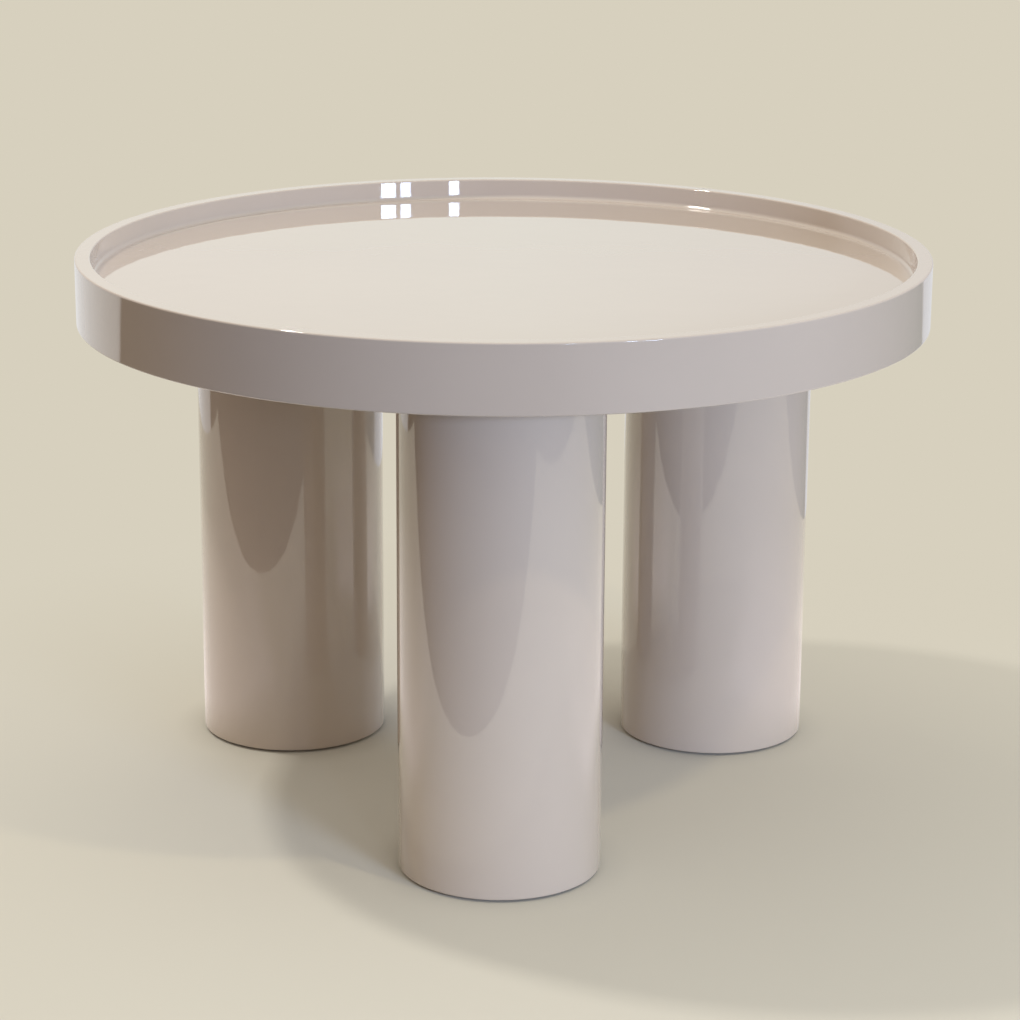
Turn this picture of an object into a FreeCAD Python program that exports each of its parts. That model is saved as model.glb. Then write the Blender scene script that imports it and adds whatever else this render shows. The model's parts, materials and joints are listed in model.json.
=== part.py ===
import FreeCAD, Part
import math
import os

# Round lacquered cocktail table: a tray top with a raised rim, on three drum legs.
# The top is a rim band glued round a tray panel, with a sub-top screwed and glued under the panel.
# Each leg is a hollow shell glued round two plugs and a former. A stud on a plate inside the leg screws
# into a tee nut in the sub-top, so the leg spins on and off. In its foot is a levelling glide, which is
# a screw with a swivelling pad.
# Sizes are in millimetres. +Z is up, the floor is Z = 0, and the table's axis is X = Y = 0.
# The first leg stands towards -Y.

# The top
TABLE_DIAMETER = 710.0  # over the rim band
TABLE_HEIGHT = 460.0  # floor to the top of the rim
BAND_HEIGHT = 55.0  # outer face of the rim band
RIM_WALL = 13.0  # thickness of the raised rim
TRAY_DEPTH = 18.0  # top of the rim down to the tray
COVE_RADIUS = 4.0  # lacquered hollow between the rim and the tray
BAND_EDGE_RADIUS = 1.5  # softened edges of the rim band
TRAY_PANEL_THICKNESS = 16.0
UNDERSIDE_SETBACK = 5.0  # lower edge of the rim band to the underside of the sub-top

# The legs
LEG_NAMES = ("front", "right", "left")  # evenly spaced, anticlockwise seen from above
FIRST_LEG_ANGLE = -90.0  # degrees
LEG_DIAMETER = 163.0
LEG_INSET = 55.5  # outside of the rim band to the outside of a leg
LEG_WALL = 12.0
LEG_FOOT_EDGE_RADIUS = 1.5
LEG_TOP_EDGE_RADIUS = 0.8
FLOOR_GAP = 2.0  # floor to the lower edge of a leg
TOP_PLUG_THICKNESS = 30.0
BASE_PLUG_THICKNESS = 30.0
BASE_PLUG_SETBACK = 1.0  # base plug above the lower edge of its leg
FORMER_THICKNESS = 18.0
FORMER_RING_WIDTH = 30.0

# The thread shared by the leg studs, the glide stems and the tee nuts
THREAD_RADIUS = 5.0
THREAD_CLEARANCE = 0.05
THREAD_END_CHAMFER = 1.0
THREAD_HOLE_CLEARANCE = 0.5  # wood round a stud or a stem

# Tee nut: a flanged barrel with prongs that bite into the wood
TEE_BARREL_WALL = 1.3
TEE_BARREL_LENGTH = 11.0  # past the flange
TEE_FLANGE_WIDTH = 6.2  # past the barrel
TEE_FLANGE_THICKNESS = 2.0
TEE_PRONG_COUNT = 4
TEE_PRONG_EDGE_GAP = 1.5  # edge of the flange to a prong
TEE_PRONG_THICKNESS = 1.2
TEE_PRONG_WIDTH = 3.0
TEE_PRONG_LENGTH = 4.0  # past the flange

# Stud plate: a square steel plate with the leg's stud welded on it
STUD_PLATE_THICKNESS = 4.0
STUD_PLATE_CORNER_RADIUS = 6.0
STUD_PLATE_MARGIN = 20.0  # corners of the plate, before rounding, to the leg's bore
STUD_PLATE_SCREW_INSET = 9.0  # sides of the plate to the screws' axes
STUD_END_SETBACK = 2.0  # end of the stud below the tray panel

# Countersunk wood screws, of one size for the tray panel and for the stud plates
SCREW_RADIUS = 2.25
SCREW_TIP_LENGTH = 4.0
SCREW_TIP_RADIUS = 0.3
SCREW_HEAD_RADIUS = 4.4
SCREW_HEAD_EDGE = 0.5  # straight edge of the head
SCREW_HEAD_TAPER = 2.2  # height of the head's cone
SCREW_CROSS_LENGTH = 5.0
SCREW_CROSS_WIDTH = 0.9
SCREW_CROSS_DEPTH = 1.6
SCREW_HOLE_CLEARANCE = 0.08
PLATE_SCREW_COVER = 8.0  # wood left over the tips of the plate screws
PANEL_SCREW_COVER = 6.0  # wood left over the tips of the panel screws
OUTER_SCREW_COUNT = 6
OUTER_SCREW_INSET = 38.0  # edge of the sub-top to the outer ring of screws
INNER_SCREW_COUNT = 3
INNER_SCREW_RING_RADIUS = 95.0

# Levelling glide: a threaded stem whose flanged foot swivels in a pad
GLIDE_PAD_RADIUS = 25.0
GLIDE_PAD_FOOT_EDGE_RADIUS = 1.2
GLIDE_PAD_TOP_EDGE_RADIUS = 1.0
GLIDE_PAD_NOTCH_COUNT = 12
GLIDE_PAD_NOTCH_RADIUS = 2.2
GLIDE_PAD_NOTCH_DEPTH = 0.9
GLIDE_SOLE_THICKNESS = 2.4  # pad under the stem's foot
GLIDE_LIP_THICKNESS = 1.8  # pad over the stem's foot
GLIDE_KEY_HOLE_RADIUS = 4.0  # through the sole, for the key that turns the stem
GLIDE_STEM_LENGTH = 45.0
GLIDE_FOOT_WIDTH = 2.5  # flange of the stem's foot, past the thread
GLIDE_FOOT_THICKNESS = 3.6
GLIDE_KEY_FLATS = 5.0  # hexagon socket in the stem's foot, across its flats
GLIDE_KEY_DEPTH = 5.0
GLIDE_SWIVEL_CLEARANCE = 0.1
GLIDE_SEAT_GAP = 0.3  # pad to its tee nut, with the glide screwed home
GLIDE_RECESS_CLEARANCE = 3.0  # round the pad, in the base plug

# Fits
GLUE_LINE = 0.1  # between glued or driven round faces
CUT_OVERRUN = 1.0  # how far a cut runs past the face that it starts from
POINT_TOLERANCE = 1e-6

# Radii and heights that follow from the sizes above
TABLE_RADIUS = TABLE_DIAMETER / 2
RIM_INNER_RADIUS = TABLE_RADIUS - RIM_WALL
BAND_INNER_RADIUS = RIM_INNER_RADIUS - COVE_RADIUS
PANEL_RADIUS = BAND_INNER_RADIUS - GLUE_LINE
BAND_BASE_Z = TABLE_HEIGHT - BAND_HEIGHT
TRAY_Z = TABLE_HEIGHT - TRAY_DEPTH
PANEL_BASE_Z = TRAY_Z - TRAY_PANEL_THICKNESS
UNDERSIDE_Z = BAND_BASE_Z + UNDERSIDE_SETBACK
SUB_TOP_THICKNESS = PANEL_BASE_Z - UNDERSIDE_Z

LEG_RADIUS = LEG_DIAMETER / 2
LEG_CIRCLE_RADIUS = TABLE_RADIUS - LEG_INSET - LEG_RADIUS
LEG_BORE_RADIUS = LEG_RADIUS - LEG_WALL
PLUG_RADIUS = LEG_BORE_RADIUS - GLUE_LINE
TOP_PLUG_BASE_Z = UNDERSIDE_Z - TOP_PLUG_THICKNESS
BASE_PLUG_BASE_Z = FLOOR_GAP + BASE_PLUG_SETBACK
BASE_PLUG_TOP_Z = BASE_PLUG_BASE_Z + BASE_PLUG_THICKNESS
STUD_PLATE_BASE_Z = TOP_PLUG_BASE_Z - STUD_PLATE_THICKNESS
STUD_PLATE_SIDE = (LEG_BORE_RADIUS - STUD_PLATE_MARGIN) * math.sqrt(2)

TEE_BORE_RADIUS = THREAD_RADIUS + THREAD_CLEARANCE
TEE_BARREL_RADIUS = THREAD_RADIUS + TEE_BARREL_WALL
TEE_FLANGE_RADIUS = TEE_BARREL_RADIUS + TEE_FLANGE_WIDTH
TEE_LENGTH = TEE_FLANGE_THICKNESS + TEE_BARREL_LENGTH
STUD_HOLE_RADIUS = TEE_BARREL_RADIUS + THREAD_HOLE_CLEARANCE
STEM_HOLE_RADIUS = THREAD_RADIUS + THREAD_HOLE_CLEARANCE

PLATE_SCREW_LENGTH = STUD_PLATE_THICKNESS + TOP_PLUG_THICKNESS - PLATE_SCREW_COVER
PANEL_SCREW_LENGTH = SUB_TOP_THICKNESS + TRAY_PANEL_THICKNESS - PANEL_SCREW_COVER
OUTER_SCREW_RING_RADIUS = PANEL_RADIUS - OUTER_SCREW_INSET

GLIDE_FOOT_RADIUS = THREAD_RADIUS + GLIDE_FOOT_WIDTH
GLIDE_SOCKET_RADIUS = GLIDE_FOOT_RADIUS + GLIDE_SWIVEL_CLEARANCE
GLIDE_NECK_RADIUS = THREAD_RADIUS + GLIDE_SWIVEL_CLEARANCE
GLIDE_STEM_BASE_Z = GLIDE_SOLE_THICKNESS + GLIDE_SWIVEL_CLEARANCE
GLIDE_FOOT_TOP_Z = GLIDE_STEM_BASE_Z + GLIDE_FOOT_THICKNESS
GLIDE_SOCKET_TOP_Z = GLIDE_FOOT_TOP_Z + GLIDE_SWIVEL_CLEARANCE
GLIDE_PAD_HEIGHT = GLIDE_SOCKET_TOP_Z + GLIDE_LIP_THICKNESS
GLIDE_RECESS_RADIUS = GLIDE_PAD_RADIUS + GLIDE_RECESS_CLEARANCE
GLIDE_RECESS_TOP_Z = GLIDE_PAD_HEIGHT + GLIDE_SEAT_GAP

V = FreeCAD.Vector
UP = V(0, 0, 1)
ACROSS = V(1, 0, 0)


def lathe(corners):
    """A solid turned about Z from a closed outline of corners: radius, height and rounding.

    A corner with a rounding is square, inside or outside, and becomes a tangent quarter arc.
    """
    points = [V(radius, 0, height) for radius, height, rounding in corners]
    spans = []
    for i, corner in enumerate(points):
        rounding = corners[i][-1]
        back = (points[i - 1] - corner).normalize() * rounding
        ahead = (points[(i + 1) % len(points)] - corner).normalize() * rounding
        spans.append((corner + back, corner + ahead))
    edges = []
    for i, (start, end) in enumerate(spans):
        rounding = corners[i][-1]
        last_end = spans[i - 1][1]
        if not last_end.isEqual(start, POINT_TOLERANCE):
            edges.append(Part.LineSegment(last_end, start).toShape())
        if rounding:
            centre = start + end - points[i]
            middle = centre + (points[i] - centre).normalize() * rounding
            edges.append(Part.Arc(start, middle, end).toShape())
    return Part.Face(Part.Wire(edges)).revolve(V(0, 0, 0), UP, 360)


def cylinder(radius, base, top):
    return Part.makeCylinder(radius, top - base, V(0, 0, base))


def block(length, width, base, top):
    """A box centred on the Z axis."""
    return Part.makeBox(length, width, top - base, V(-length / 2, -width / 2, base))


def hexagon(flats, base, top):
    """A hexagonal prism on the Z axis."""
    corner_radius = flats / 2 / math.cos(math.pi / 6)
    corners = [polar(corner_radius, 60 * i) for i in range(6)]
    face = Part.Face(Part.makePolygon(corners + corners[:1]))
    prism = face.extrude(UP * (top - base))
    return placed(prism, UP * base)


def polar(radius, degrees):
    """A point in plan, at a radius and an angle from the Z axis."""
    turn = math.radians(degrees)
    return V(radius * math.cos(turn), radius * math.sin(turn), 0)


def ring_of_points(radius, count, first_angle):
    return [polar(radius, first_angle + 360 * i / count) for i in range(count)]


def placed(shape, place):
    """A copy of a shape, moved by a vector."""
    copy = shape.copy()
    copy.translate(place)
    return copy


def turned_over(shape):
    """A copy of a shape, upside down about the origin."""
    copy = shape.copy()
    copy.rotate(V(0, 0, 0), ACROSS, 180)
    return copy


def rim_band():
    return lathe([
        (BAND_INNER_RADIUS, BAND_BASE_Z, BAND_EDGE_RADIUS),
        (TABLE_RADIUS, BAND_BASE_Z, BAND_EDGE_RADIUS),
        (TABLE_RADIUS, TABLE_HEIGHT, BAND_EDGE_RADIUS),
        (RIM_INNER_RADIUS, TABLE_HEIGHT, BAND_EDGE_RADIUS),
        (RIM_INNER_RADIUS, TRAY_Z, COVE_RADIUS),
        (BAND_INNER_RADIUS, TRAY_Z, 0),
    ])


def tray_panel():
    panel = cylinder(PANEL_RADIUS, PANEL_BASE_Z, TRAY_Z)
    return panel.cut(Part.Compound(panel_screws(SCREW_HOLE_CLEARANCE)))


def sub_top():
    disc = cylinder(PANEL_RADIUS, UNDERSIDE_Z, PANEL_BASE_Z)
    pocket = placed(turned_over(tee_nut_pocket()), UP * PANEL_BASE_Z)
    stud_hole = cylinder(TEE_BARREL_RADIUS + GLUE_LINE, UNDERSIDE_Z - CUT_OVERRUN, PANEL_BASE_Z)
    cuts = panel_screws(SCREW_HOLE_CLEARANCE)
    for centre in LEG_CENTRES:
        cuts.append(placed(pocket, centre))
        cuts.append(placed(stud_hole, centre))
    return disc.cut(Part.Compound(cuts))


def wood_screw(length, clearance):
    """A countersunk screw that points up from Z = 0, or with a clearance, the hole for it."""
    shank = SCREW_RADIUS + clearance
    head = SCREW_HEAD_RADIUS + clearance
    outline = [
        (0, 0, 0),
        (head, 0, 0),
        (head, SCREW_HEAD_EDGE, 0),
        (shank, SCREW_HEAD_EDGE + SCREW_HEAD_TAPER, 0),
        (shank, length - SCREW_TIP_LENGTH, 0),
        (SCREW_TIP_RADIUS + clearance, length, 0),
        (0, length, 0),
    ]
    return lathe(outline)


def cross_headed(screw):
    """A screw with the driver's cross cut in its head."""
    arm = block(SCREW_CROSS_LENGTH, SCREW_CROSS_WIDTH, -CUT_OVERRUN, SCREW_CROSS_DEPTH)
    other_arm = block(SCREW_CROSS_WIDTH, SCREW_CROSS_LENGTH, -CUT_OVERRUN, SCREW_CROSS_DEPTH)
    return screw.cut(arm.fuse(other_arm))


def panel_screws(clearance=0):
    """The screws from the sub-top into the tray panel, or with a clearance, their holes."""
    screw = wood_screw(PANEL_SCREW_LENGTH, clearance)
    if not clearance:
        screw = cross_headed(screw)
    half_step = 180 / len(LEG_NAMES)
    places = ring_of_points(OUTER_SCREW_RING_RADIUS, OUTER_SCREW_COUNT, FIRST_LEG_ANGLE + half_step / 2)
    places += ring_of_points(INNER_SCREW_RING_RADIUS, INNER_SCREW_COUNT, FIRST_LEG_ANGLE + half_step)
    return [placed(screw, place + UP * UNDERSIDE_Z) for place in places]


def tee_nut_prongs():
    """The prongs of a tee nut that points up, with its flange on Z = 0."""
    prong = block(TEE_PRONG_THICKNESS, TEE_PRONG_WIDTH, TEE_FLANGE_THICKNESS,
                  TEE_FLANGE_THICKNESS + TEE_PRONG_LENGTH)
    reach = TEE_FLANGE_RADIUS - TEE_PRONG_EDGE_GAP - TEE_PRONG_THICKNESS / 2
    prong.translate(ACROSS * reach)
    prongs = []
    for i in range(TEE_PRONG_COUNT):
        copy = prong.copy()
        copy.rotate(V(0, 0, 0), UP, 360 * i / TEE_PRONG_COUNT)
        prongs.append(copy)
    return prongs


def tee_nut():
    """A tee nut that points up, with its flange on Z = 0."""
    nut = lathe([
        (TEE_BORE_RADIUS, 0, 0),
        (TEE_FLANGE_RADIUS, 0, 0),
        (TEE_FLANGE_RADIUS, TEE_FLANGE_THICKNESS, 0),
        (TEE_BARREL_RADIUS, TEE_FLANGE_THICKNESS, 0),
        (TEE_BARREL_RADIUS, TEE_LENGTH, 0),
        (TEE_BORE_RADIUS, TEE_LENGTH, 0),
    ])
    return nut.fuse(tee_nut_prongs()).removeSplitter()


def tee_nut_pocket():
    """What a tee nut takes out of the wood, with the face of the wood on Z = 0."""
    flange = cylinder(TEE_FLANGE_RADIUS + GLUE_LINE, -CUT_OVERRUN, TEE_FLANGE_THICKNESS)
    barrel = cylinder(TEE_BARREL_RADIUS + GLUE_LINE, 0, TEE_LENGTH)
    return flange.fuse([barrel] + tee_nut_prongs())


def leg_shell():
    return lathe([
        (LEG_BORE_RADIUS, FLOOR_GAP, 0),
        (LEG_RADIUS, FLOOR_GAP, LEG_FOOT_EDGE_RADIUS),
        (LEG_RADIUS, UNDERSIDE_Z, LEG_TOP_EDGE_RADIUS),
        (LEG_BORE_RADIUS, UNDERSIDE_Z, 0),
    ])


def leg_top_plug():
    plug = cylinder(PLUG_RADIUS, TOP_PLUG_BASE_Z, UNDERSIDE_Z)
    stud_hole = cylinder(STUD_HOLE_RADIUS, TOP_PLUG_BASE_Z - CUT_OVERRUN, UNDERSIDE_Z + CUT_OVERRUN)
    return plug.cut(Part.Compound([stud_hole] + plate_screws(SCREW_HOLE_CLEARANCE)))


def leg_former():
    """The ring half way up the open space inside the leg."""
    middle_z = (BASE_PLUG_TOP_Z + STUD_PLATE_BASE_Z) / 2
    base_z = middle_z - FORMER_THICKNESS / 2
    top_z = middle_z + FORMER_THICKNESS / 2
    hole = cylinder(PLUG_RADIUS - FORMER_RING_WIDTH, base_z - CUT_OVERRUN, top_z + CUT_OVERRUN)
    return cylinder(PLUG_RADIUS, base_z, top_z).cut(hole)


def leg_base_plug():
    plug = cylinder(PLUG_RADIUS, BASE_PLUG_BASE_Z, BASE_PLUG_TOP_Z)
    recess = cylinder(GLIDE_RECESS_RADIUS, BASE_PLUG_BASE_Z - CUT_OVERRUN, GLIDE_RECESS_TOP_Z)
    stem_hole = cylinder(STEM_HOLE_RADIUS, GLIDE_RECESS_TOP_Z, BASE_PLUG_TOP_Z + CUT_OVERRUN)
    pocket = placed(tee_nut_pocket(), UP * GLIDE_RECESS_TOP_Z)
    return plug.cut([recess, stem_hole, pocket])


def stud_plate():
    plate = block(STUD_PLATE_SIDE, STUD_PLATE_SIDE, STUD_PLATE_BASE_Z, TOP_PLUG_BASE_Z)
    upright_edges = [edge for edge in plate.Edges if edge.BoundBox.ZLength > POINT_TOLERANCE]
    plate = plate.makeFillet(STUD_PLATE_CORNER_RADIUS, upright_edges)
    stud_end_z = PANEL_BASE_Z - STUD_END_SETBACK
    stud = lathe([
        (0, STUD_PLATE_BASE_Z, 0),
        (THREAD_RADIUS, STUD_PLATE_BASE_Z, 0),
        (THREAD_RADIUS, stud_end_z - THREAD_END_CHAMFER, 0),
        (THREAD_RADIUS - THREAD_END_CHAMFER, stud_end_z, 0),
        (0, stud_end_z, 0),
    ])
    drilled = plate.cut(Part.Compound(plate_screws(SCREW_HOLE_CLEARANCE)))
    return drilled.fuse(stud).removeSplitter()


def plate_screws(clearance=0):
    """The screws of a stud plate, or with a clearance, their holes."""
    screw = wood_screw(PLATE_SCREW_LENGTH, clearance)
    if not clearance:
        screw = cross_headed(screw)
    reach = STUD_PLATE_SIDE / 2 - STUD_PLATE_SCREW_INSET
    places = [V(x, y, STUD_PLATE_BASE_Z) for x in (-reach, reach) for y in (-reach, reach)]
    return [placed(screw, place) for place in places]


def leg_tee_nut():
    return placed(turned_over(tee_nut()), UP * PANEL_BASE_Z)


def glide_tee_nut():
    return placed(tee_nut(), UP * GLIDE_RECESS_TOP_Z)


def glide_stem():
    top_z = GLIDE_STEM_BASE_Z + GLIDE_STEM_LENGTH
    stem = lathe([
        (0, GLIDE_STEM_BASE_Z, 0),
        (GLIDE_FOOT_RADIUS, GLIDE_STEM_BASE_Z, 0),
        (GLIDE_FOOT_RADIUS, GLIDE_FOOT_TOP_Z, 0),
        (THREAD_RADIUS, GLIDE_FOOT_TOP_Z, 0),
        (THREAD_RADIUS, top_z - THREAD_END_CHAMFER, 0),
        (THREAD_RADIUS - THREAD_END_CHAMFER, top_z, 0),
        (0, top_z, 0),
    ])
    key_base_z = GLIDE_STEM_BASE_Z - CUT_OVERRUN
    return stem.cut(hexagon(GLIDE_KEY_FLATS, key_base_z, GLIDE_STEM_BASE_Z + GLIDE_KEY_DEPTH))


def glide_pad():
    pad = lathe([
        (GLIDE_KEY_HOLE_RADIUS, 0, 0),
        (GLIDE_PAD_RADIUS, 0, GLIDE_PAD_FOOT_EDGE_RADIUS),
        (GLIDE_PAD_RADIUS, GLIDE_PAD_HEIGHT, GLIDE_PAD_TOP_EDGE_RADIUS),
        (GLIDE_NECK_RADIUS, GLIDE_PAD_HEIGHT, 0),
        (GLIDE_NECK_RADIUS, GLIDE_SOCKET_TOP_Z, 0),
        (GLIDE_SOCKET_RADIUS, GLIDE_SOCKET_TOP_Z, 0),
        (GLIDE_SOCKET_RADIUS, GLIDE_SOLE_THICKNESS, 0),
        (GLIDE_KEY_HOLE_RADIUS, GLIDE_SOLE_THICKNESS, 0),
    ])
    notch = cylinder(GLIDE_PAD_NOTCH_RADIUS, -CUT_OVERRUN, GLIDE_PAD_HEIGHT + CUT_OVERRUN)
    notch_reach = GLIDE_PAD_RADIUS + GLIDE_PAD_NOTCH_RADIUS - GLIDE_PAD_NOTCH_DEPTH
    notches = [placed(notch, place) for place in ring_of_points(notch_reach, GLIDE_PAD_NOTCH_COUNT, 0)]
    return pad.cut(Part.Compound(notches))


def export(node, shape):
    shape.exportStep("parts/" + node + ".step")


LEG_CENTRES = ring_of_points(LEG_CIRCLE_RADIUS, len(LEG_NAMES), FIRST_LEG_ANGLE)

# One leg's pieces, made on the Z axis and copied to each leg
LEG_PIECES = {
    "leg_shell": leg_shell(),
    "leg_top_plug": leg_top_plug(),
    "leg_former": leg_former(),
    "leg_base_plug": leg_base_plug(),
    "stud_plate": stud_plate(),
    "plate_screws": Part.Compound(plate_screws()),
    "leg_tee_nut": leg_tee_nut(),
    "glide_tee_nut": glide_tee_nut(),
    "glide_stem": glide_stem(),
    "glide_pad": glide_pad(),
}

os.makedirs("parts", exist_ok=True)
export("rim_band", rim_band())
export("tray_panel", tray_panel())
export("sub_top", sub_top())
export("panel_screws", Part.Compound(panel_screws()))
for leg, centre in zip(LEG_NAMES, LEG_CENTRES):
    for piece, shape in LEG_PIECES.items():
        export(piece + "_" + leg, placed(shape, centre))
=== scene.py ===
import json
import math

import bpy
from mathutils import Matrix, Vector


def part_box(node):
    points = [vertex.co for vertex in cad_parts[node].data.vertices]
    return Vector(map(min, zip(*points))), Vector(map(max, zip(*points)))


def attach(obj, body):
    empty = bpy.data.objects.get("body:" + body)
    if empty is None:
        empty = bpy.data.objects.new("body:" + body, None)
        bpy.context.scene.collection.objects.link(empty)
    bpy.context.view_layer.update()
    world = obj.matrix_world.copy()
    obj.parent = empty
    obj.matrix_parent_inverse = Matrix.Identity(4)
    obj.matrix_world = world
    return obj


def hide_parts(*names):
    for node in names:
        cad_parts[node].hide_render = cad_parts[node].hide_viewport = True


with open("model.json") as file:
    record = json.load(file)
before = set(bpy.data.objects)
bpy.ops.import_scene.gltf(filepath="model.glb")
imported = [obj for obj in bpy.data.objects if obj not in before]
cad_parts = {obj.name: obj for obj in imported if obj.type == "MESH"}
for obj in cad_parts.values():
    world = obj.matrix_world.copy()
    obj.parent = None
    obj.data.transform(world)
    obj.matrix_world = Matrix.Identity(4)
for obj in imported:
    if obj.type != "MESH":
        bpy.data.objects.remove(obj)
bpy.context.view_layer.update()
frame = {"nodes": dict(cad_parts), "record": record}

# Round cocktail table in high-gloss taupe lacquer, on a pale studio floor.
# The rim band, the tray panel and the leg shells are turned again here, with finer curves and true normals.
# All the other pieces are the model's own, and every piece has a procedural material.
# Sizes are in metres. +Z is up, the floor is Z = 0, and the front leg stands towards -Y.

# Sizes of the turned pieces that their boxes don't give
RIM_WALL = 0.013
COVE_RADIUS = 0.004
BAND_EDGE_RADIUS = 0.0015
LEG_WALL = 0.012
LEG_FOOT_EDGE_RADIUS = 0.0015
LEG_TOP_EDGE_RADIUS = 0.0008
TOP_SEGMENTS = 288
LEG_SEGMENTS = 160
ARC_STEPS = 8
SAME_PLACE = 1e-7  # points of an outline that are nearer than this are one
LEG_NAMES = ("front", "right", "left")

# Camera, as fitted to the photograph
CAMERA_PLACE = (0.014, -2.442, 0.934)
CAMERA_LENS_MM = 104.85
CAMERA_SENSOR_MM = 36.0
CAMERA_PITCH = 16.01  # degrees below the horizon
CAMERA_YAW = -0.18  # degrees to the right of +Y
CAMERA_ROLL = 0.33  # degrees, anticlockwise

# Colours, linear. A pair is the dark and the pale end of a material's mottling.
LACQUER_COLOUR = (0.55, 0.47, 0.40)
UNDERSIDE_COLOUR = (0.40, 0.35, 0.30)
FIBREBOARD_COLOURS = ((0.27, 0.175, 0.095), (0.52, 0.375, 0.23))
ZINC_COLOURS = ((0.50, 0.52, 0.56), (0.70, 0.71, 0.73))
NYLON_COLOURS = ((0.012, 0.012, 0.012), (0.03, 0.03, 0.029))
BACKDROP_COLOUR = (0.680, 0.631, 0.515)
FLOOR_COLOUR = (0.645, 0.615, 0.535)
BLACK = (0.0, 0.0, 0.0)
WHITE = (1.0, 1.0, 1.0)

GLOSSY_BOUNCES = 12  # enough for the rim, the tray and the legs to mirror each other


def rgba(colour):
    return (*colour, 1.0)


def shade(colour, gain):
    return tuple(gain * part for part in colour)


def link(name, data):
    """A new object in the scene, with a mesh, a lens or a lamp."""
    thing = bpy.data.objects.new(name, data)
    bpy.context.collection.objects.link(thing)
    return thing


# Turned meshes
def line(start, end):
    """A straight stroke of an outline, with the solid on its left: points of radius, height and normal."""
    along = Vector(end) - Vector(start)
    along.normalize()
    normal = (along.y, -along.x)
    return [(*start, *normal), (*end, *normal)]


def arc(centre, radius, first, last, hollow=False):
    """A round stroke of an outline between two angles in degrees. A hollow one faces its centre."""
    side = -1 if hollow else 1
    points = []
    for step in range(ARC_STEPS + 1):
        turn = math.radians(first + (last - first) * step / ARC_STEPS)
        across, up = math.cos(turn), math.sin(turn)
        points.append((centre[0] + radius * across, centre[1] + radius * up, side * across, side * up))
    return points


def rounded(corner, radius, first):
    """A quarter round in a square corner of an outline that turns left, from an angle in degrees."""
    turn = math.radians(first + 45)
    reach = radius * math.sqrt(2)
    centre = (corner[0] - reach * math.cos(turn), corner[1] - reach * math.sin(turn))
    return arc(centre, radius, first, first + 90)


def outline(*strokes):
    """Joins strokes end to end, with straight strokes over the gaps between them, and closes the outline."""
    joined = []
    for stroke, following in zip(strokes, strokes[1:] + strokes[:1]):
        joined.append(stroke)
        end, start = stroke[-1][:2], following[0][:2]
        if math.dist(end, start) > SAME_PLACE:
            joined.append(line(end, start))
    return joined


def smooth_piece(name, verts, faces, normals):
    """A mesh object with a normal of its own for each corner of its faces."""
    mesh = bpy.data.meshes.new(name)
    mesh.from_pydata(verts, [], faces)
    mesh.polygons.foreach_set("use_smooth", [True] * len(faces))
    mesh.normals_split_custom_set(normals)
    mesh.validate()
    return link(name, mesh)


def turned(name, strokes, centre, segments):
    """A closed mesh turned about a vertical axis, with the outline's own normals at every corner."""
    turns = [2 * math.pi * k / segments for k in range(segments)]
    rings = []
    verts = []
    faces = []
    normals = []

    def ring_at(radius, height):
        """The vertices of the ring at a point of the outline. On the axis they are one vertex, repeated."""
        for place, ring in rings:
            if math.dist(place, (radius, height)) < SAME_PLACE:
                return ring
        on_axis = radius < SAME_PLACE
        ring = []
        for turn in turns[:1] if on_axis else turns:
            ring.append(len(verts))
            verts.append((centre[0] + radius * math.cos(turn), centre[1] + radius * math.sin(turn), height))
        rings.append(((radius, height), ring * segments if on_axis else ring))
        return rings[-1][1]

    def swung(normal, k):
        """A normal of the outline, turned to a segment."""
        turn = turns[k % segments]
        return (normal[0] * math.cos(turn), normal[0] * math.sin(turn), normal[1])

    for stroke in strokes:
        for low, high in zip(stroke, stroke[1:]):
            low_ring = ring_at(*low[:2])
            high_ring = ring_at(*high[:2])
            for k in range(segments):
                after = (k + 1) % segments
                corners = [(low_ring[k], swung(low[2:], k)), (low_ring[after], swung(low[2:], k + 1)),
                           (high_ring[after], swung(high[2:], k + 1)), (high_ring[k], swung(high[2:], k))]
                kept = dict(corners)
                if len(kept) < 3:
                    continue
                faces.append(list(kept))
                normals.extend(kept.values())
    return smooth_piece(name, verts, faces, normals)


def stands_for(piece, node, material):
    """Puts a turned piece in a node's place on the table."""
    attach(piece, "table")
    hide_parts(node)
    piece.data.materials.append(material)


def build_rim_band(material):
    """The hoop round the top, with a cove where its rim meets the tray."""
    low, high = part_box("rim_band")
    radius = (high.x - low.x) / 2
    inner = radius - RIM_WALL
    tray_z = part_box("tray_panel")[1].z
    toe = inner - COVE_RADIUS
    strokes = outline(
        rounded((toe, low.z), BAND_EDGE_RADIUS, 180),
        rounded((radius, low.z), BAND_EDGE_RADIUS, 270),
        rounded((radius, high.z), BAND_EDGE_RADIUS, 0),
        rounded((inner, high.z), BAND_EDGE_RADIUS, 90),
        arc((toe, tray_z + COVE_RADIUS), COVE_RADIUS, 0, -90, hollow=True),
    )
    piece = turned("rim_band_lacquered", strokes, (0, 0), TOP_SEGMENTS)
    stands_for(piece, "rim_band", material)


def build_tray_panel(material):
    """The panel's lacquered face runs up to the toe of the rim's cove, with no open joint."""
    low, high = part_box("tray_panel")
    band_low, band_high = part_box("rim_band")
    radius = (band_high.x - band_low.x) / 2 - RIM_WALL - COVE_RADIUS
    strokes = [
        line((0, low.z), (radius, low.z)),
        line((radius, low.z), (radius, high.z)),
        line((radius, high.z), (0, high.z)),
    ]
    piece = turned("tray_panel_lacquered", strokes, (0, 0), TOP_SEGMENTS)
    stands_for(piece, "tray_panel", material)


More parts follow.
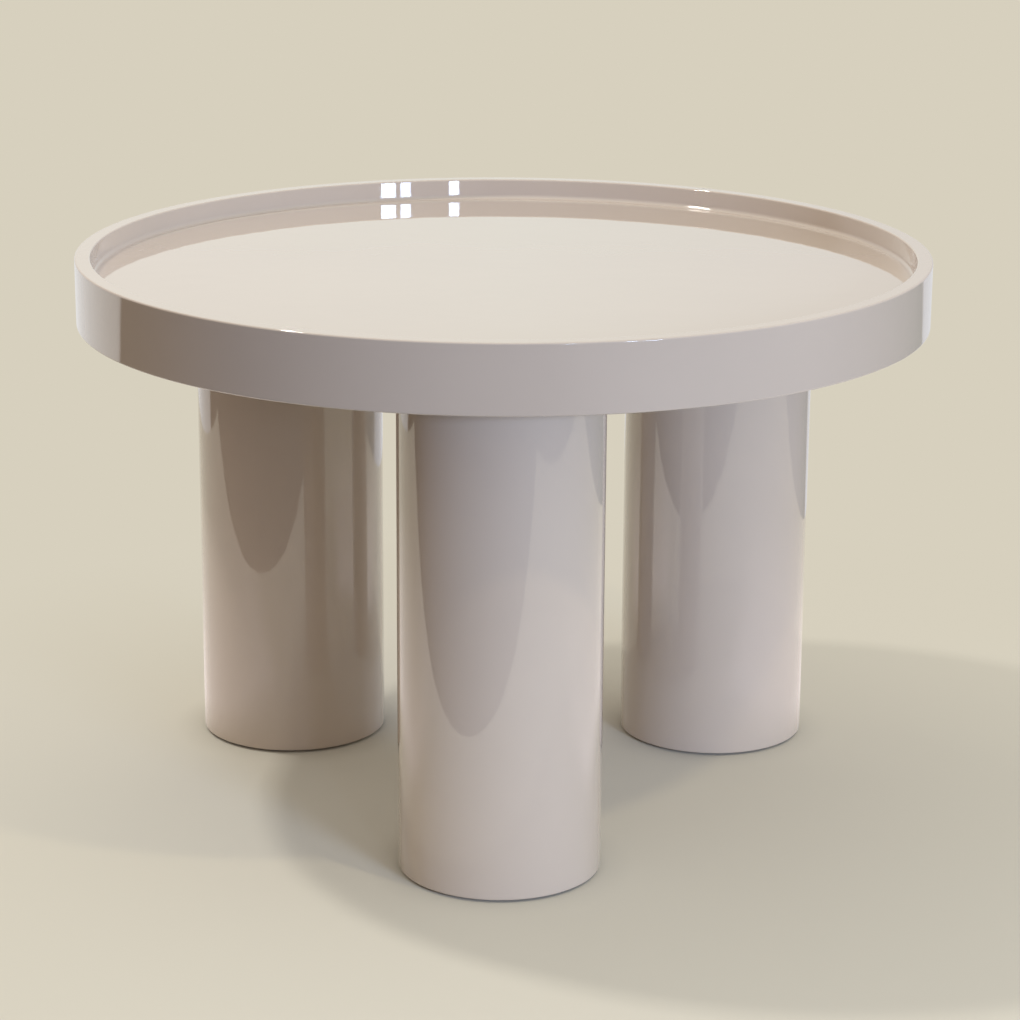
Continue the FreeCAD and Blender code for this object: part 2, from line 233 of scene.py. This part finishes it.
def build_leg_shell(leg, material):
    """The drum of a leg, open at both ends for its plugs."""
    node = "leg_shell_" + leg
    low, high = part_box(node)
    centre = ((low.x + high.x) / 2, (low.y + high.y) / 2)
    radius = (high.x - low.x) / 2
    bore = radius - LEG_WALL
    strokes = outline(
        line((bore, high.z), (bore, low.z)),
        rounded((radius, low.z), LEG_FOOT_EDGE_RADIUS, 270),
        rounded((radius, high.z), LEG_TOP_EDGE_RADIUS, 0),
    )
    piece = turned(node + "_lacquered", strokes, centre, LEG_SEGMENTS)
    stands_for(piece, node, material)


# Node trees
class Graph:
    """A node tree being made, with short ways to add and join its nodes."""

    def __init__(self, tree, coordinates):
        self.tree = tree
        self.place = self.add("ShaderNodeTexCoord").outputs[coordinates]

    def add(self, kind, **settings):
        node = self.tree.nodes.new(kind)
        for key, value in settings.items():
            setattr(node, key, value)
        return node

    def join(self, output, socket):
        self.tree.links.new(output, socket)

    def give(self, value, socket):
        """Links a socket to an output, or sets it to a plain value."""
        if isinstance(value, bpy.types.NodeSocket):
            self.join(value, socket)
        else:
            socket.default_value = value

    def parts(self, vector):
        """The X, Y and Z of a vector."""
        split = self.add("ShaderNodeSeparateXYZ")
        self.join(vector, split.inputs["Vector"])
        return [split.outputs[axis] for axis in "XYZ"]

    def distance(self, centre):
        """The distance of a place from a centre."""
        node = self.add("ShaderNodeVectorMath", operation="DISTANCE")
        self.join(self.place, node.inputs[0])
        node.inputs[1].default_value = centre
        return node.outputs["Value"]

    def turn(self):
        """The turn of a place or a direction about Z, from -X by way of the front, as a share of 1."""
        gradient = self.add("ShaderNodeTexGradient", gradient_type="RADIAL")
        self.join(self.place, gradient.inputs["Vector"])
        return gradient.outputs["Fac"]

    def noise(self, feature, detail=2.0, stretch=(1, 1, 1)):
        """Noise whose features are about that many metres across."""
        mapping = self.add("ShaderNodeMapping")
        mapping.inputs["Scale"].default_value = stretch
        self.join(self.place, mapping.inputs["Vector"])
        noise = self.add("ShaderNodeTexNoise")
        noise.inputs["Scale"].default_value = 1 / feature
        noise.inputs["Detail"].default_value = detail
        self.join(mapping.outputs["Vector"], noise.inputs["Vector"])
        return noise.outputs["Fac"]

    def between(self, value, low, high, span=(0.3, 0.7)):
        """A number from low to high as a value goes over a span."""
        spread = self.add("ShaderNodeMapRange")
        for socket, number in zip(("From Min", "From Max", "To Min", "To Max"), (*span, low, high)):
            spread.inputs[socket].default_value = number
        self.join(value, spread.inputs["Value"])
        return spread.outputs["Result"]

    def stops(self, value, *stops):
        """A colour that goes through stops, each a value from 0 to 1 and a colour."""
        ramp = self.add("ShaderNodeValToRGB")
        elements = ramp.color_ramp.elements
        while len(elements) < len(stops):
            elements.new(1.0)
        for element, (position, colour) in zip(elements, stops):
            element.position = position
            element.color = rgba(colour)
        self.join(value, ramp.inputs["Fac"])
        return ramp.outputs["Color"]

    def bump(self, height, depth, below=None):
        """A bump that is a height from 0 to 1 times a depth in metres, over another bump."""
        bump = self.add("ShaderNodeBump")
        bump.inputs["Strength"].default_value = 1.0
        bump.inputs["Distance"].default_value = depth
        self.join(height, bump.inputs["Height"])
        if below:
            self.join(below, bump.inputs["Normal"])
        return bump.outputs["Normal"]

    def light(self, kind, colour, strength=1.0):
        """The light of an Emission or a Background of a colour."""
        node = self.add("ShaderNode" + kind)
        self.give(colour, node.inputs["Color"])
        self.give(strength, node.inputs["Strength"])
        return node.outputs[kind]

    def clear(self):
        """A shader that is clear through."""
        return self.add("ShaderNodeBsdfTransparent").outputs["BSDF"]

    def mixed(self, share, first, second):
        """Two shaders, with that share of the second one."""
        node = self.add("ShaderNodeMixShader")
        self.give(share, node.inputs["Fac"])
        self.join(first, node.inputs[1])
        self.join(second, node.inputs[2])
        return node.outputs["Shader"]

    def added(self, first, second):
        """Two shaders, each in full."""
        node = self.add("ShaderNodeAddShader")
        self.join(first, node.inputs[0])
        self.join(second, node.inputs[1])
        return node.outputs["Shader"]


class Surface(Graph):
    """A material being made."""

    def __init__(self, name):
        self.material = bpy.data.materials.new(name)
        self.material.use_nodes = True
        super().__init__(self.material.node_tree, "Object")
        self.shader = self.tree.nodes["Principled BSDF"]

    def set(self, **values):
        """Sets sockets of the shader, or links them, by their names with underscores for spaces."""
        for key, value in values.items():
            self.give(value, self.shader.inputs[key.replace("_", " ")])

    def tint(self, fac, dark, light):
        """Colours the surface from dark to light by a noise."""
        self.set(Base_Color=self.stops(fac, (0.3, dark), (0.7, light)))


# Materials
def lacquer():
    """Polished high-gloss lacquer: a clear coat over taupe colour, with the slight waves of spraying."""
    surface = Surface("taupe_lacquer")
    cloud = surface.noise(feature=0.11, detail=3.0)
    surface.tint(cloud, shade(LACQUER_COLOUR, 0.985), shade(LACQUER_COLOUR, 1.015))
    haze = surface.noise(feature=0.03, detail=4.0)
    waves = surface.bump(surface.noise(feature=0.035, detail=1.0), depth=0.00007)
    peel = surface.bump(surface.noise(feature=0.004, detail=1.0), depth=0.000004, below=waves)
    surface.set(Roughness=surface.between(haze, low=0.03, high=0.045), Normal=peel, Coat_Normal=peel)
    surface.set(IOR=1.5, Coat_Weight=1.0, Coat_Roughness=0.015, Coat_IOR=1.5)
    return surface.material


def underside_paint():
    """Satin paint on the underside of the top and on the foot of each leg, with the nap of a roller."""
    surface = Surface("underside_paint")
    cloud = surface.noise(feature=0.05, detail=4.0)
    surface.tint(cloud, shade(UNDERSIDE_COLOUR, 0.94), shade(UNDERSIDE_COLOUR, 1.05))
    nap = surface.bump(surface.noise(feature=0.0025, detail=2.0), depth=0.00006)
    sheen = surface.noise(feature=0.02, detail=3.0)
    surface.set(Roughness=surface.between(sheen, low=0.40, high=0.55), Normal=nap)
    return surface.material


def fibreboard():
    """Bare medium-density fibreboard, with pale and dark flecks."""
    surface = Surface("fibreboard")
    fleck = surface.noise(feature=0.0018, detail=5.0)
    surface.tint(fleck, *FIBREBOARD_COLOURS)
    fuzz = surface.bump(surface.noise(feature=0.0008, detail=3.0), depth=0.00005)
    surface.set(Roughness=surface.between(fleck, low=0.75, high=0.95), Normal=fuzz)
    return surface.material


def zinc_steel():
    """Zinc-plated steel, with the fine streaks and mottling of barrel plating."""
    surface = Surface("zinc_steel")
    surface.tint(surface.noise(feature=0.004, detail=4.0), *ZINC_COLOURS)
    streak = surface.noise(feature=0.0016, detail=3.0, stretch=(1, 1, 6))
    surface.set(Metallic=1.0, Roughness=surface.between(streak, low=0.26, high=0.44))
    surface.set(Normal=surface.bump(streak, depth=0.00001))
    return surface.material


def black_nylon():
    """Moulded black nylon, with a fine spark-eroded texture."""
    surface = Surface("black_nylon")
    surface.tint(surface.noise(feature=0.006, detail=3.0), *NYLON_COLOURS)
    grain = surface.noise(feature=0.0005, detail=2.0)
    surface.set(Roughness=surface.between(grain, low=0.42, high=0.6))
    surface.set(Normal=surface.bump(grain, depth=0.00004))
    return surface.material


def dress_nodes(materials):
    """Gives every node of the model the material of its slot in the record."""
    for part in frame["record"]["subparts"]:
        mesh = frame["nodes"][part["node"]].data
        mesh.materials.clear()
        mesh.materials.append(materials[part["material_slot"]])


# Camera
def build_camera():
    lens = bpy.data.cameras.new("camera")
    lens.lens = CAMERA_LENS_MM
    lens.sensor_width = CAMERA_SENSOR_MM
    camera = link("camera", lens)
    turn = Matrix.Rotation(math.radians(-CAMERA_YAW), 4, "Z")
    tilt = Matrix.Rotation(math.radians(90 - CAMERA_PITCH), 4, "X")
    roll = Matrix.Rotation(math.radians(CAMERA_ROLL), 4, "Z")
    camera.matrix_world = Matrix.Translation(CAMERA_PLACE) @ turn @ tilt @ roll
    bpy.context.scene.camera = camera


# Floor and backdrop
STAGE_REACH = 14.0
ROOM_REACH = 21.0
FADE_CENTRE = (0.10, -0.25, 0.0)
FADE = (0.42, 1.0)  # distances from there over which the floor goes over to plain backdrop colour
FADE_SHARE = (0.13, 1.0)  # share of that plain colour at those distances
SHADE_REACH = 0.03  # how near a leg the plain colour gets painted shade
SHADE_SAMPLES = 4
# The lacquer mirrors the edges of the pale floor, and the darker floor of the room past them.
PALE_ANGLE = -34.0  # degrees from +X, the pale floor's long way
PALE_FRONT = 0.626  # table's axis to the pale floor's edges
PALE_BACK = 0.92
PALE_LEFT = 1.34
PALE_RIGHT = 1.50
ROOM_FLOOR_Z = 0.0005
# Glowing colours of the room's floor, its own darker tone with its light and shade painted in, by the turn
# from -X by way of the front, as a share of a whole turn
ROOM_FLOOR = (
    (0.000, (0.07, 0.05, 0.035)),
    (0.200, (0.06, 0.045, 0.035)),
    (0.270, (0.10, 0.08, 0.065)),
    (0.340, (0.18, 0.17, 0.155)),
    (0.500, (0.26, 0.26, 0.24)),
    (0.638, (0.33, 0.33, 0.30)),
    (0.642, (0.72, 0.72, 0.74)),
    (0.937, (0.87, 0.85, 0.82)),
    (0.941, (0.07, 0.05, 0.035)),
)
# At both sides of the table the pale floor throws up more light than its plain colour does.
BOUNCE_Z = 0.0003
BOUNCE_REACH = 1.0
BOUNCE_COLOUR = (0.38, 0.33, 0.37)
# Its share, by the distance in metres from the table's axis
BOUNCE_SHARE = (
    (0.26, BLACK),
    (0.36, WHITE),
    (BOUNCE_REACH, BLACK),
)
# Its colour, by the turn as for the room's floor
BOUNCE = (
    (0.070, BOUNCE_COLOUR),
    (0.110, BLACK),
    (0.390, BLACK),
    (0.430, BOUNCE_COLOUR),
    (0.610, BOUNCE_COLOUR),
    (0.660, BLACK),
    (0.840, BLACK),
    (0.890, BOUNCE_COLOUR),
)


def rectangle(left, right, front, back, height):
    """The corners of a level rectangle, from its distances from the table's axis."""
    return [(-left, -front, height), (right, -front, height), (right, back, height), (-left, back, height)]


def square(reach, height):
    return rectangle(reach, reach, reach, reach, height)


def add_stage(name, verts, faces, surface, shader):
    """A piece of the stage round the table, with a shader for its look."""
    surface.join(shader, surface.tree.nodes["Material Output"].inputs["Surface"])
    surface.material.cycles.emission_sampling = "NONE"
    mesh = bpy.data.meshes.new(name)
    mesh.from_pydata(verts, [], faces)
    mesh.materials.append(surface.material)
    piece = link(name, mesh)
    return piece


def add_floor(name, verts, faces, surface, shader, for_camera=True):
    """A flat piece of the stage, which is clear from below. One that isn't for the camera casts no shadow."""
    below = surface.add("ShaderNodeNewGeometry").outputs["Backfacing"]
    piece = add_stage(name, verts, faces, surface, surface.mixed(below, shader, surface.clear()))
    piece.visible_camera = for_camera
    piece.visible_shadow = for_camera


def build_floor():
    """A pale floor that takes the table's shadow, and fades to the plain backdrop colour away from it. Close
    to the legs the plain colour has painted shade.
    """
    surface = Surface("floor")
    surface.set(Base_Color=rgba(FLOOR_COLOUR), Roughness=0.9, Specular_IOR_Level=0.0)
    away = surface.between(surface.distance(FADE_CENTRE), *FADE_SHARE, FADE)
    # Painted shade: ambient occlusion darkens the glowing plain colour close to the legs, as a contact
    # shadow.
    painted_leg_shade = surface.add("ShaderNodeAmbientOcclusion", samples=SHADE_SAMPLES)
    painted_leg_shade.inputs["Color"].default_value = rgba(BACKDROP_COLOUR)
    painted_leg_shade.inputs["Distance"].default_value = SHADE_REACH
    plain = surface.light("Emission", painted_leg_shade.outputs["Color"])
    shader = surface.mixed(away, surface.shader.outputs["BSDF"], plain)
    add_floor("floor", square(STAGE_REACH, 0.0), [(0, 1, 2, 3)], surface, shader)


def build_room_floor():
    """The room's darker floor round the pale one, as a glowing sheet with the floor's light and shade painted
    into its colours for the lacquer to mirror. It isn't for the camera.
    """
    inner = rectangle(PALE_LEFT, PALE_RIGHT, PALE_FRONT, PALE_BACK, ROOM_FLOOR_Z)
    outer = square(ROOM_REACH, ROOM_FLOOR_Z)
    turn = Matrix.Rotation(math.radians(PALE_ANGLE), 3, "Z")
    verts = [turn @ Vector(corner) for corner in inner + outer]
    faces = [(k, k + 4, (k + 1) % 4 + 4, (k + 1) % 4) for k in range(4)]
    surface = Surface("room_floor")
    colour = surface.light("Emission", surface.stops(surface.turn(), *ROOM_FLOOR))
    add_floor("room_floor", verts, faces, surface, colour, for_camera=False)


def build_bounce():
    """The light that the pale floor throws up over its plain colour. It isn't for the camera."""
    surface = Surface("bounce")
    share = surface.stops(surface.distance((0, 0, 0)), *BOUNCE_SHARE)
    thrown = surface.light("Emission", surface.stops(surface.turn(), *BOUNCE), share)
    shader = surface.added(surface.clear(), thrown)
    add_floor("bounce", square(BOUNCE_REACH, BOUNCE_Z), [(0, 1, 2, 3)], surface, shader, for_camera=False)


def build_backdrop():
    """A plain pale backdrop all round, in front of the room. It is only for the camera."""
    surface = Surface("backdrop")
    verts = square(STAGE_REACH, -STAGE_REACH) + square(STAGE_REACH, STAGE_REACH)
    faces = [(3, 2, 1, 0), (4, 5, 6, 7)] + [(k, (k + 1) % 4, (k + 1) % 4 + 4, k + 4) for k in range(4)]
    piece = add_stage("backdrop", verts, faces, surface, surface.light("Emission", rgba(BACKDROP_COLOUR)))
    piece.visible_diffuse = False
    piece.visible_glossy = False
    piece.visible_shadow = False


# Lights
TABLE_MIDDLE = (0.0, 0.0, 0.40)
KEY_PLACE = (-1.27, 0.37, 2.76)
KEY_SIZE = (0.17, 0.17)
KEY_POWER = 29.0
KEY_COLOUR = (1.0, 0.97, 0.91)
FILL_PLACE = (0.95, -1.05, 2.4)
FILL_SIZE = (0.1, 0.1)
FILL_POWER = 9.5
FILL_COLOUR = (1.0, 0.86, 0.58)
WINDOW_DISTANCE = 3.5
WINDOW_RADIANCE = 20.0
WINDOW_COLOUR = (0.78, 1.0, 1.43)
# Azimuth from -Y towards +X, and elevation, in degrees
DAYLIGHT_ANGLES = (31.0, 10.0)
DAYLIGHT_SIZE = (0.6, 0.55)
DAYLIGHT_POWER = 37.0
# Panes: azimuth, elevation, width and height, in degrees
WINDOWS = {
    "window_left": (36.9, 10.0, 4.6, 9.0),
    "window_right": (31.3, 10.0, 3.1, 9.0),
    "window_side": (16.0, 11.5, 2.9, 6.0),
}


def build_light(name, place, size, power, colour, mirrored=False):
    """A rectangular lamp at a place, facing the table."""
    lamp = bpy.data.lights.new(name, "AREA")
    lamp.shape = "RECTANGLE"
    lamp.size, lamp.size_y = size
    lamp.energy = power
    lamp.color = colour
    light = link(name, lamp)
    light.location = place
    light.rotation_euler = (Vector(TABLE_MIDDLE) - Vector(place)).to_track_quat("-Z", "Y").to_euler()
    light.visible_camera = False
    light.visible_glossy = mirrored


def window_place(azimuth, elevation):
    turn, climb = math.radians(azimuth), math.radians(elevation)
    reach = Vector((math.sin(turn) * math.cos(climb), -math.cos(turn) * math.cos(climb), math.sin(climb)))
    return Vector(TABLE_MIDDLE) + reach * WINDOW_DISTANCE


def build_windows():
    """The bright window panes that the rim and the tray mirror, and the daylight of the sky past them."""
    for name, (azimuth, elevation, across, up) in WINDOWS.items():
        wide, high = (2 * WINDOW_DISTANCE * math.tan(math.radians(angle) / 2) for angle in (across, up))
        power = WINDOW_RADIANCE * math.pi * wide * high
        build_light(name, window_place(azimuth, elevation), (wide, high), power, WINDOW_COLOUR, mirrored=True)
    build_light("daylight", window_place(*DAYLIGHT_ANGLES), DAYLIGHT_SIZE, DAYLIGHT_POWER, WINDOW_COLOUR)


# World
# Colours of the room at the table's level, by the turn as for the room's floor
ROOM = (
    (0.00, (0.37, 0.27, 0.20)),
    (0.18, (0.32, 0.24, 0.18)),
    (0.27, (0.44, 0.34, 0.31)),
    (0.36, (0.50, 0.48, 0.47)),
    (0.50, (0.60, 0.585, 0.56)),
    (0.64, (0.70, 0.64, 0.60)),
    (0.70, (0.68, 0.63, 0.63)),
    (0.75, (0.82, 0.83, 0.79)),
    (0.80, (0.86, 0.81, 0.76)),
    (0.92, (0.90, 0.82, 0.80)),
    (0.95, (0.37, 0.27, 0.20)),
)
CEILING = (0.75, 0.74, 0.64)
CEILING_SPAN = (0.45, 0.95)  # sine of the elevation over which the room gives way to the ceiling


def build_world():
    """A room of soft light round the table."""
    world = bpy.data.worlds.new("room")
    bpy.context.scene.world = world
    world.use_nodes = True
    world.node_tree.nodes.clear()
    sky = Graph(world.node_tree, "Generated")
    walls = sky.light("Background", sky.stops(sky.turn(), *ROOM))
    ceiling = sky.light("Background", rgba(CEILING))
    climb = sky.between(sky.parts(sky.place)[2], 0.0, 1.0, CEILING_SPAN)
    sky.join(sky.mixed(climb, walls, ceiling), sky.add("ShaderNodeOutputWorld").inputs["Surface"])


def main():
    materials = {
        "lacquer": lacquer(),
        "underside_paint": underside_paint(),
        "fibreboard": fibreboard(),
        "zinc_steel": zinc_steel(),
        "black_nylon": black_nylon(),
    }
    dress_nodes(materials)
    build_rim_band(materials["lacquer"])
    build_tray_panel(materials["lacquer"])
    for leg in LEG_NAMES:
        build_leg_shell(leg, materials["lacquer"])
    build_camera()
    build_floor()
    build_room_floor()
    build_bounce()
    build_backdrop()
    build_light("key", KEY_PLACE, KEY_SIZE, KEY_POWER, KEY_COLOUR, mirrored=True)
    build_light("fill", FILL_PLACE, FILL_SIZE, FILL_POWER, FILL_COLOUR)
    build_windows()
    build_world()
    bpy.context.scene.view_settings.view_transform = "Standard"
    bpy.context.scene.cycles.glossy_bounces = GLOSSY_BOUNCES


main()
